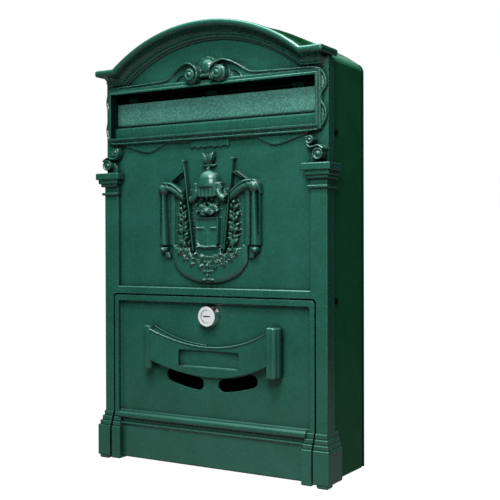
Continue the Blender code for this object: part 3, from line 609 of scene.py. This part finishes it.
def crest_scroll(field, from_scroll):
    """A rolled scroll, seen on its end, with a raised middle, a ring and a ball."""
    x, z = SCROLL
    field.sink(from_scroll < SCROLL_RADIUS - 1.0, SCROLL_HEIGHT)
    drum = SCROLL_HEIGHT * half_round(from_scroll, SCROLL_RADIUS + 0.1, 10)
    field.add(np.where(from_scroll < SCROLL_RADIUS, drum, BURIED))
    field.add(np.where(from_scroll < 5.9, 11.0 + 1.7 * half_round(from_scroll, 6.0), BURIED))
    field.ring(x, z, 4.3, 1.0, 13.2, 11.4)
    field.ball(x, z + 0.4, 2.4, 14.2, 11.6)


def make_crest():
    """Strapwork round the mail slot, with two rolled scrolls and a shell over its middle."""
    field = Relief(124.0, (308.0, 390.0))
    from_scroll = np.hypot(field.X - SCROLL[0], field.Z - SCROLL[1])
    crest_strap(field, from_scroll)
    crest_panel(field)
    crest_shell(field)
    crest_scroll(field, from_scroll)
    right, low, high = SLOT_FRAME
    field.sink((field.X < right) & (field.Z > low) & (field.Z < high), BURIED)
    field.build("slot_crest")


APRON_HEIGHT = 2.1
APRON_TOP = 313.0
APRON_LINE = ((PAST_MIDDLE, 300.4), (3.0, 300.9), (5.5, 299.4), (9.0, 301.0), (12.5, 299.7), (16.0, 301.1),
              (21.6, 299.8))
APRON_SWAG = ((21.6, 306.2), (36.0, 306.8), (48.5, 306.9), (55.0, 304.4), (62.0, 300.8), (71.0, 298.6),
              (82.0, 300.4), (96.0, 304.6), (108.0, 308.0), (117.0, 310.6))


def make_apron():
    """A scalloped board that hangs below the slot."""
    field = Relief(118.5, (296.5, 313.5))
    top = [(APRON_SWAG[-1][0], APRON_TOP), (PAST_MIDDLE, APRON_TOP)]
    field.plate(flow(APRON_LINE, 5) + flow(APRON_SWAG, 7) + top, APRON_HEIGHT, 0.5)
    field.build("slot_apron")


# Each scroll of a capital: its middle, radius and height, then its ring's radius, half width, top and foot,
# and its ball's radius, top and foot
VOLUTES = (((117.0, 288.0), 5.5, 8.4, (4.5, 1.1, 9.8, 7.4), (2.5, 9.9, 7.6)),
           ((108.4, 300.8), 4.1, 6.9, (3.2, 1.0, 8.2, 6.0), (1.9, 8.4, 6.4)))
VOLUTE_RIBBON = ((105.0, 303.2), (105.2, 298.6), (108.0, 294.6), (112.4, 294.4), (117.4, 295.2),
                 (121.8, 292.6))
VOLUTE_FOOT = [(107.5, 280.0), (107.5, 286.0), (111.0, 292.0), (115.0, 292.0), (118.0, 280.0)]


def make_volutes():
    """A pair of scrolls on each capital, joined by a ribbon."""
    field = Relief(126.0, (280.6, 308.5))
    for (x, z), radius, height, ring, ball in VOLUTES:
        spread = np.hypot(field.X - x, field.Z - z)
        field.add(np.where(spread < radius, height * half_round(spread, radius + 0.1, 6), BURIED))
        field.ring(x, z, *ring)
        field.ball(x, z, *ball)
    field.cord(flow(VOLUTE_RIBBON, 6), 2.1, 7.6, 1.6, 10.4)
    field.add(np.where(field.inside(VOLUTE_FOOT) < 0, 4.2, BURIED))
    field.build("capital_volutes")


MANTLE_TOP = 262.0
MANTLE_LINE = ((42.6, 196.5), (40.6, 190.5), (33.0, 181.6), (24.0, 176.6), (13.0, 173.4), (-2.0, 172.2),
               (PAST_MIDDLE, 172.4))
# Across the hanging side: X and height
MANTLE_LINING = ((30.0, 1.6), (36.4, 1.4), (37.8, 0.5), (39.6, 2.8), (42.4, 3.2), (44.4, 2.2), (45.4, 0.4),
                 (60.0, 0.4))
# The deep fold: X, half width at its top, how fast it widens downward, and its height
MANTLE_FOLD = (50.6, 2.3, 0.043, 7.0)
MANTLE_HEM = (55.6, 1.1, 4.4)         # X, half width and height
MANTLE_SWEEP = ((12.0, 259.0), (15.0, 253.8), (20.0, 251.4), (26.4, 253.6), (34.0, 258.6), (41.6, 262.6),
                (48.0, 263.6))
MANTLE_ROLL = ((25.4, 256.6), (33.0, 262.4), (40.6, 266.8), (47.0, 267.6))
MANTLE_KNOT = ((44.2, 264.6), (47.6, 267.9), (52.0, 267.6), (55.4, 263.4), (56.6, 256.4))


def mantle_basin(field):
    """The mantle's smooth round foot, and its flat ground behind the shield."""
    upper = [(PAST_MIDDLE, MANTLE_TOP), (40.0, MANTLE_TOP), (42.6, 230.0)]
    basin = field.inside(flow(MANTLE_LINE, 6) + upper)
    field.add(np.where(basin < 0, 0.6 + 3.4 * quarter_round(-basin, 6.5), -SKIRT_SLOPE * basin))
    field.sink((field.X < 37.0) & (field.Z > 206.0) & (field.Z < MANTLE_TOP), 1.6)


def mantle_sides(field):
    """The mantle's hanging sides: a lining, a fold that widens downward and a hem, with a tassel below."""
    hanging = (field.X > 37.0) & (field.X < 56.8) & (field.Z > 208.5) & (field.Z < 264.0)
    x, width, widening, height = MANTLE_FOLD
    fold = height * half_round(field.X - x, width + (MANTLE_TOP - field.Z) * widening)
    x, width, height = MANTLE_HEM
    hem = height * half_round(field.X - x, width)
    folds = np.maximum(np.maximum(fold, hem), np.interp(field.X, *zip(*MANTLE_LINING)))
    field.h = np.where(hanging, folds, field.h)
    field.sink((field.Z > 204.0) & (field.Z < 208.5) & (field.X > 46.2), BURIED)
    field.plate([(46.6, 203.0), (46.2, 207.6), (54.8, 207.6), (54.6, 203.0)], 5.4, 1.6)
    field.ball(51.4, 204.4, 3.8, 7.8, 1.0)
    field.plate([(43.0, 196.0), (45.6, 202.6), (51.4, 202.4), (48.8, 196.4)], 3.6, 1.2)


def mantle_corners(field):
    """The mantle gathered at its upper corners, and two cords that hold it."""
    field.cord(flow(MANTLE_SWEEP, 6), 4.3, 8.0, 4.0, 8.6)
    field.cord(flow(MANTLE_ROLL, 6), 1.9, 8.8, 1.9, 8.6, base=3.0)
    field.ball(50.2, 262.4, 6.6, 9.4)
    field.cord(flow(MANTLE_KNOT, 6), 1.4, 9.0, 1.2, 5.0, base=2.0)
    for shift in (0.0, 2.6):
        field.cord([(27.6 + shift, 276.2 + shift * 0.5), (42.4 + shift * 0.4, 267.4 + shift * 0.4)], 0.7, 4.8)


CROWN_BAND = [(PAST_MIDDLE, 266.5), (15.4, 266.5), (16.4, 262.0), (13.4, 256.0), (8.0, 253.6),
              (PAST_MIDDLE, 253.0)]
CROWN_RIB = 4.2                       # from rib to rib
CROWN_DOME = (264.6, 12.6, 14.8)      # Z of its middle, half width and height


def emblem_crown(field):
    """A domed cap on a ribbed band, with a two-leaf finial."""
    ribs = 0.5 + 0.5 * np.cos(field.X * 2 * math.pi / CROWN_RIB)
    band = 3.0 + 4.6 * half_round(field.X, 17.5) + 1.0 * ribs
    field.add(np.where(field.inside(CROWN_BAND) < 0, band, BURIED))
    z, wide, high = CROWN_DOME
    dome = np.sqrt(np.clip(1 - (field.X / wide) ** 2 - ((field.Z - z) / high) ** 2, 0, 1))
    field.add(np.where((dome > 0) & (field.Z > 263.0), 11.2 * dome, BURIED))
    field.cord([(-1.0, 266.4), (14.6, 266.4)], 1.3, 7.6, 1.3, 6.0, base=2.0)
    field.ball(0.0, 279.6, 2.4, 5.6)
    field.cord([(-1.0, 283.0), (6.4, 283.4)], 2.2, 4.0, 1.6, 3.0)
    field.leaf(0.2, 284.0, 14.2, 7.4, 64.0, 7.4, vein=0.2)


STAFF = [(27.4, 287.6), (17.2, 203.6)]


def emblem_staffs(field):
    """Two slanting staffs with round tops, which stand in grooves of the mantle."""
    away, _ = field.to_line(STAFF)
    field.sink((away < 2.9) & (field.Z < 270), 0.0)
    field.cord(STAFF, 1.3, 5.4, 1.3, 4.6)
    field.ball(27.5, 288.4, 2.2, 6.4)


SHIELD = [(PAST_MIDDLE, 234.6), (12.6, 234.6), (13.0, 232.0), (12.6, 210.0), (9.0, 206.8),
          (PAST_MIDDLE, 205.4)]
SHIELD_HEIGHT = 6.4
SHIELD_RIM = (1.0, 0.8)               # how far inside the outline, and half its width
TUFT_BALLS = ((2.2, 247.4, 2.0), (7.4, 245.6, 1.8), (11.0, 240.4, 1.7), (0.0, 252.4, 1.7), (5.4, 251.4, 1.4),
              (11.6, 246.6, 1.3))


def emblem_shield(field):
    """A plain shield with two short bars over an upright line, under a tuft of leaves and berries."""
    inside = field.plate(SHIELD, SHIELD_HEIGHT, 1.0)
    inset, width = SHIELD_RIM
    rim = np.abs(inside + inset)
    field.add(np.where(rim < width, 6.0 + 0.9 * half_round(rim, width), BURIED))
    field.sink(inside < -1.8, SHIELD_HEIGHT - 1.0)
    field.add(np.where((np.abs(field.Z - 224.4) < 0.9) & (field.X > 3.4) & (inside < -1.6), 6.9, BURIED))
    field.add(np.where((field.X < 0.6) & (inside < -1.6) & (field.Z < 222.0), 6.0, BURIED))
    field.cord([(-1.0, 206.8), (11.6, 207.4)], 1.1, 8.4)
    field.cord([(-1.0, 234.4), (12.4, 234.2)], 0.8, 7.8)
    for angle in range(30, 151, 24):
        field.leaf(0.0, 236.0, 11.5, 5.2, angle, 8.4, base=2.0)
        field.leaf(5.8, 241.0, 8.0, 4.0, angle - 20, 7.4, base=2.0)
    for x, z, radius in TUFT_BALLS:
        field.ball(x, z, radius, 7.4)
    field.ball(0.0, 240.2, 3.2, 9.4, 3.0)


SPRAY_STEM = ((27.0, 205.0), (29.4, 218.0), (28.0, 232.0), (29.6, 246.0))
SPRAY_LEAF = (8.4, 3.9)               # length and width
SPRAY_BERRIES = ((33.8, 236.6), (24.2, 229.4), (34.2, 222.4), (23.4, 215.6))


def emblem_sprays(field):
    """An upright spray of leaves on each side of the shield."""
    field.cord(flow(SPRAY_STEM, 6), 1.4, 5.6, 1.0, 5.2)
    for count, z in enumerate(np.arange(209.0, 243.0, 5.2)):
        lean = 36.0 if count % 2 else 52.0
        field.leaf(28.4, z, *SPRAY_LEAF, lean, 6.8, base=2.0)
        field.leaf(28.2, z + 2.2, *SPRAY_LEAF, 180.0 - lean, 6.8, base=2.0)
    field.ball(29.6, 248.4, 2.8, 7.8)
    for x, z in SPRAY_BERRIES:
        field.ball(x, z, 1.5, 6.6)
    field.cord([(20.0, 222.4), (27.0, 221.8)], 1.0, 5.0)


GARLAND_Z = 209.0                     # Z of its ends
# Each row of leaves: half width, depth, number of leaves and their length
GARLAND_ROWS = ((17.0, 10.0, 6, 8.6), (24.0, 14.5, 8, 9.2), (31.0, 18.5, 9, 7.6))


def emblem_garland(field):
    """A hanging garland of leaves and berries below the shield, and a small pendant."""
    for row, (wide, deep, count, size) in enumerate(GARLAND_ROWS):
        for i in range(count):
            angle = -90.0 + 82.0 * (i + 0.5 * (row % 2)) / (count - 0.5)
            a = math.radians(angle)
            x, z = wide * math.cos(a), GARLAND_Z + deep * math.sin(a)
            field.leaf(x, z, size, 4.2, angle + (58 if i % 2 else -48), 6.6 + 0.6 * (i % 3), base=2.0)
            field.ball(x * 0.95 + 1.4, z - 1.6, 1.3 + 0.3 * (i % 2), 6.6)
    field.ball(0.0, 189.6, 2.4, 7.4)
    field.cord([(0.0, 187.0), (0.0, 178.0)], 1.4, 6.0)
    field.cord([(-1.0, 183.6), (4.6, 184.6)], 1.2, 6.2)
    field.cord([(-1.0, 176.6), (5.6, 176.0)], 1.5, 5.4)
    field.ball(4.8, 176.2, 1.8, 6.4)
    field.ball(0.0, 180.4, 2.1, 7.0)


def make_emblem():
    """A generic heraldic relief: crown, mantle, two staffs, a plain shield and foliage."""
    field = Relief(59.0, (169.0, 299.5), FINE_STEP)
    mantle_basin(field)
    mantle_sides(field)
    mantle_corners(field)
    emblem_sprays(field)
    emblem_garland(field)
    emblem_staffs(field)
    emblem_crown(field)
    emblem_shield(field)
    item = field.build("emblem")
    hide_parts("emblem_plaque")


# ---------------------------------------------------------------- banner

# Each turn of a roll: its angle from -Y towards +X, how far it stands out and how broad it is, in degrees
RIGHT_TURNS = ((-33.0, 0.6, 6.0), (-6.0, -0.75, 13.0), (24.0, 0.5, 10.0), (60.0, -0.6, 17.0),
               (112.0, 0.3, 12.0))
LEFT_TURNS = ((-40.0, 0.45, 11.0), (30.0, 0.45, 11.0))

# Each rolled end: its name, middle in plan, radius, lower and upper end, and turns
BANNER_CURLS = (("banner_curl_right", (71.0, -82.4), 7.1, (88.2, 135.1), RIGHT_TURNS),
                ("banner_curl_left", (-66.4, -84.9), 4.55, (89.2, 131.6), LEFT_TURNS))

# How a rolled end closes: the distance from its end, and its share of the full width there
CURL_ROUNDING = ((0.0, 0.72), (0.3, 0.83), (0.8, 0.91), (1.6, 0.97), (2.8, 1.0))
CURL_STEPS = 96
LIP_STEPS = 56
LIP_SIDES = 12
BANNER_TOP = (113.6, 140.5)           # lowest point and radius of the banner's upper edge
BANNER_PLAN = (-80.0, 253.0)          # depth at the middle and radius of its hollow face
SKIN_CREASE = 50                      # degrees; sharper edges of a skin stay sharp


def skin(name, rings):
    """A closed skin over a row of rings of points in millimetres, which rides on the door."""
    shape = bmesh.new()
    rows = [[shape.verts.new(Vector(point) * MM) for point in ring] for ring in rings]
    for row, following in zip(rows, rows[1:]):
        for i in range(len(row)):
            j = (i + 1) % len(row)
            shape.faces.new((row[i], row[j], following[j], following[i]))
    shape.faces.new(rows[0])
    shape.faces.new(rows[-1])
    bmesh.ops.recalc_face_normals(shape, faces=shape.faces)
    mesh = bpy.data.meshes.new(name)
    shape.to_mesh(mesh)
    shape.free()
    item = smooth(link(name, mesh, CAST), SKIN_CREASE)
    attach(item, "door")


def banner_depth(x):
    """Depth of the banner's hollow face."""
    middle, hollow = BANNER_PLAN
    return middle - hollow + math.sqrt(hollow ** 2 - x ** 2)


def make_banner_lip(name, thickness, start, end, rise, rear):
    """A rolled lip along the upper edge of the banner, at its front or where it meets the door."""
    low, radius = BANNER_TOP
    rings = []
    for x in np.linspace(start, end, LIP_STEPS):
        y = PANEL_Y - 0.3 if rear else banner_depth(x) + 0.2
        z = low + radius - math.sqrt(radius ** 2 - x ** 2) - thickness + rise + UNDERSIDE
        slope = math.asin(x / radius)
        ring = []
        for angle in np.arange(0, 2 * math.pi, 2 * math.pi / LIP_SIDES):
            across, out = thickness * math.cos(angle), thickness * math.sin(angle)
            ring.append((x - across * math.sin(slope), y - out, z + across * math.cos(slope)))
        rings.append(ring)
    skin(name, rings)


def make_banner_curl(name, centre, radius, ends, turns):
    """A rolled end of the banner: the turns of the roll show as ridges."""
    outline = []
    for step in range(CURL_STEPS):
        angle = step * 360.0 / CURL_STEPS - 180.0
        out = radius + sum(high * math.exp(-((angle - place) / broad) ** 2) for place, high, broad in turns)
        a = math.radians(angle)
        outline.append((out * math.sin(a), -out * math.cos(a)))
    levels = [(ends[0] + rise, share) for rise, share in CURL_ROUNDING]
    levels += [(ends[1] - rise, share) for rise, share in reversed(CURL_ROUNDING)]
    rear = PANEL_Y + 0.2
    rings = []
    for z, share in levels:
        rings.append([(centre[0] + across * share, min(rear, centre[1] + out * share), z + UNDERSIDE)
                      for across, out in outline])
    skin(name, rings)


# ---------------------------------------------------------------- stage, light and camera

CAMERA_PLACE = (0.49174, -0.81929, 0.01065)
CAMERA_TURN = (31.14, -0.42, -0.16)       # yaw, pitch and roll in degrees
CAMERA_LENS = 68.22
FLOOR_Z = -0.315                          # under the hanging box and under its door when it is let down
FLOOR_HALF_WIDTH = 6.0
FLOOR_TONE = (0.35, 0.40, 0.38, 1.0)
FLOOR_GLOW = (1.13, 0.9)                  # strength of its white, and its share in what the camera sees
SKY_TONE = (0.45, 1.0, 0.78, 1.0)
SKY_STRENGTH = 0.055


def make_camera():
    """A camera to the right of the object, level with its middle."""
    yaw, pitch, roll = (math.radians(a) for a in CAMERA_TURN)
    ahead = Vector((-math.sin(yaw), math.cos(yaw), 0.0))
    right = Vector((math.cos(yaw), math.sin(yaw), 0.0))
    top = Vector((0.0, 0.0, 1.0))
    look = math.cos(pitch) * ahead + math.sin(pitch) * top
    rise = -math.sin(pitch) * ahead + math.cos(pitch) * top
    side = math.cos(roll) * right + math.sin(roll) * rise
    up = -math.sin(roll) * right + math.cos(roll) * rise
    data = bpy.data.cameras.new("camera")
    data.lens = CAMERA_LENS
    data.sensor_width = 36.0
    data.clip_start = 0.01
    camera = bpy.data.objects.new("camera", data)
    turn = Matrix((side, up, -look)).transposed().to_4x4()
    camera.matrix_world = Matrix.Translation(CAMERA_PLACE) @ turn
    bpy.context.scene.collection.objects.link(camera)
    bpy.context.scene.camera = camera


def area_light(name, place, target, size, power):
    """A soft box that points at its target, with its size in metres and its power in watts."""
    data = bpy.data.lights.new(name, "AREA")
    data.shape = "RECTANGLE"
    data.size, data.size_y = size
    data.energy = power
    item = bpy.data.objects.new(name, data)
    item.location = place
    item.rotation_euler = (Vector(target) - Vector(place)).to_track_quat("-Z", "Y").to_euler()
    bpy.context.scene.collection.objects.link(item)


def make_world():
    """Plain white behind the object, and a faint green-white light from all round."""
    world = bpy.data.worlds.new("studio")
    bpy.context.scene.world = world
    world.use_nodes = True
    nodes, links = world.node_tree.nodes, world.node_tree.links
    soft = nodes["Background"]
    soft.inputs["Color"].default_value = SKY_TONE
    soft.inputs["Strength"].default_value = SKY_STRENGTH
    white = nodes.new("ShaderNodeBackground")
    white.inputs["Color"].default_value = (1.0, 1.0, 1.0, 1.0)
    seen = nodes.new("ShaderNodeLightPath")
    mix = nodes.new("ShaderNodeMixShader")
    links.new(seen.outputs["Is Camera Ray"], mix.inputs[0])
    links.new(soft.outputs[0], mix.inputs[1])
    links.new(white.outputs[0], mix.inputs[2])
    links.new(mix.outputs[0], nodes["World Output"].inputs["Surface"])


def make_stage():
    """A pale floor below the object; it looks white and throws back a greyer light."""
    shape = bmesh.new()
    bmesh.ops.create_grid(shape, x_segments=1, y_segments=1, size=FLOOR_HALF_WIDTH)
    mesh = bpy.data.meshes.new("studio_floor")
    shape.to_mesh(mesh)
    shape.free()
    g = Graph("pale_floor")
    g.shader.inputs["Base Color"].default_value = FLOOR_TONE
    g.shader.inputs["Roughness"].default_value = 0.9
    glow = g.node("ShaderNodeEmission")
    strength, share = FLOOR_GLOW
    glow.inputs["Strength"].default_value = strength
    seen = g.node("ShaderNodeLightPath")
    pale = g.remap(seen.outputs["Is Camera Ray"], 0.0, 1.0, 0.0, share)
    mix = g.node("ShaderNodeMixShader")
    for source, target in ((pale, 0), (g.shader.outputs[0], 1), (glow.outputs[0], 2)):
        g.join(source, mix.inputs[target])
    g.join(mix.outputs[0], g.tree.nodes["Material Output"].inputs["Surface"])
    floor = link("studio_floor", mesh, g.material)
    floor.location.z = FLOOR_Z


def make_studio():
    """World, floor, camera and lights: a key light at the right and softer ones around the mailbox."""
    make_world()
    make_stage()
    make_camera()
    area_light("key_light", (0.27, -0.62, 0.38), (0.0, -0.08, -0.02), (0.26, 0.26), 3.0)
    area_light("left_light", (-0.20, -1.25, 0.20), (0.0, -0.08, 0.0), (0.28, 0.6), 0.2)
    area_light("top_light", (0.22, -0.72, 1.15), (0.0, -0.05, 0.1), (0.5, 0.3), 12.0)
    area_light("roof_light", (0.27, -0.10, 1.30), (0.05, -0.04, 0.15), (0.25, 0.25), 7.5)
    area_light("rear_light", (-0.35, 1.30, 0.45), (0.0, 0.0, 0.0), (0.5, 0.5), 3.5)
    bpy.context.scene.view_settings.view_transform = "Standard"


make_studio()
finish_cad_nodes()
make_crest()
make_apron()
make_volutes()
make_emblem()
make_banner_lip("banner_front_lip", 1.1, -65.5, 66.0, 0.0, rear=False)
make_banner_lip("banner_rear_lip", 0.9, -66.0, -4.0, 1.5, rear=True)
for curl in BANNER_CURLS:
    make_banner_curl(*curl)
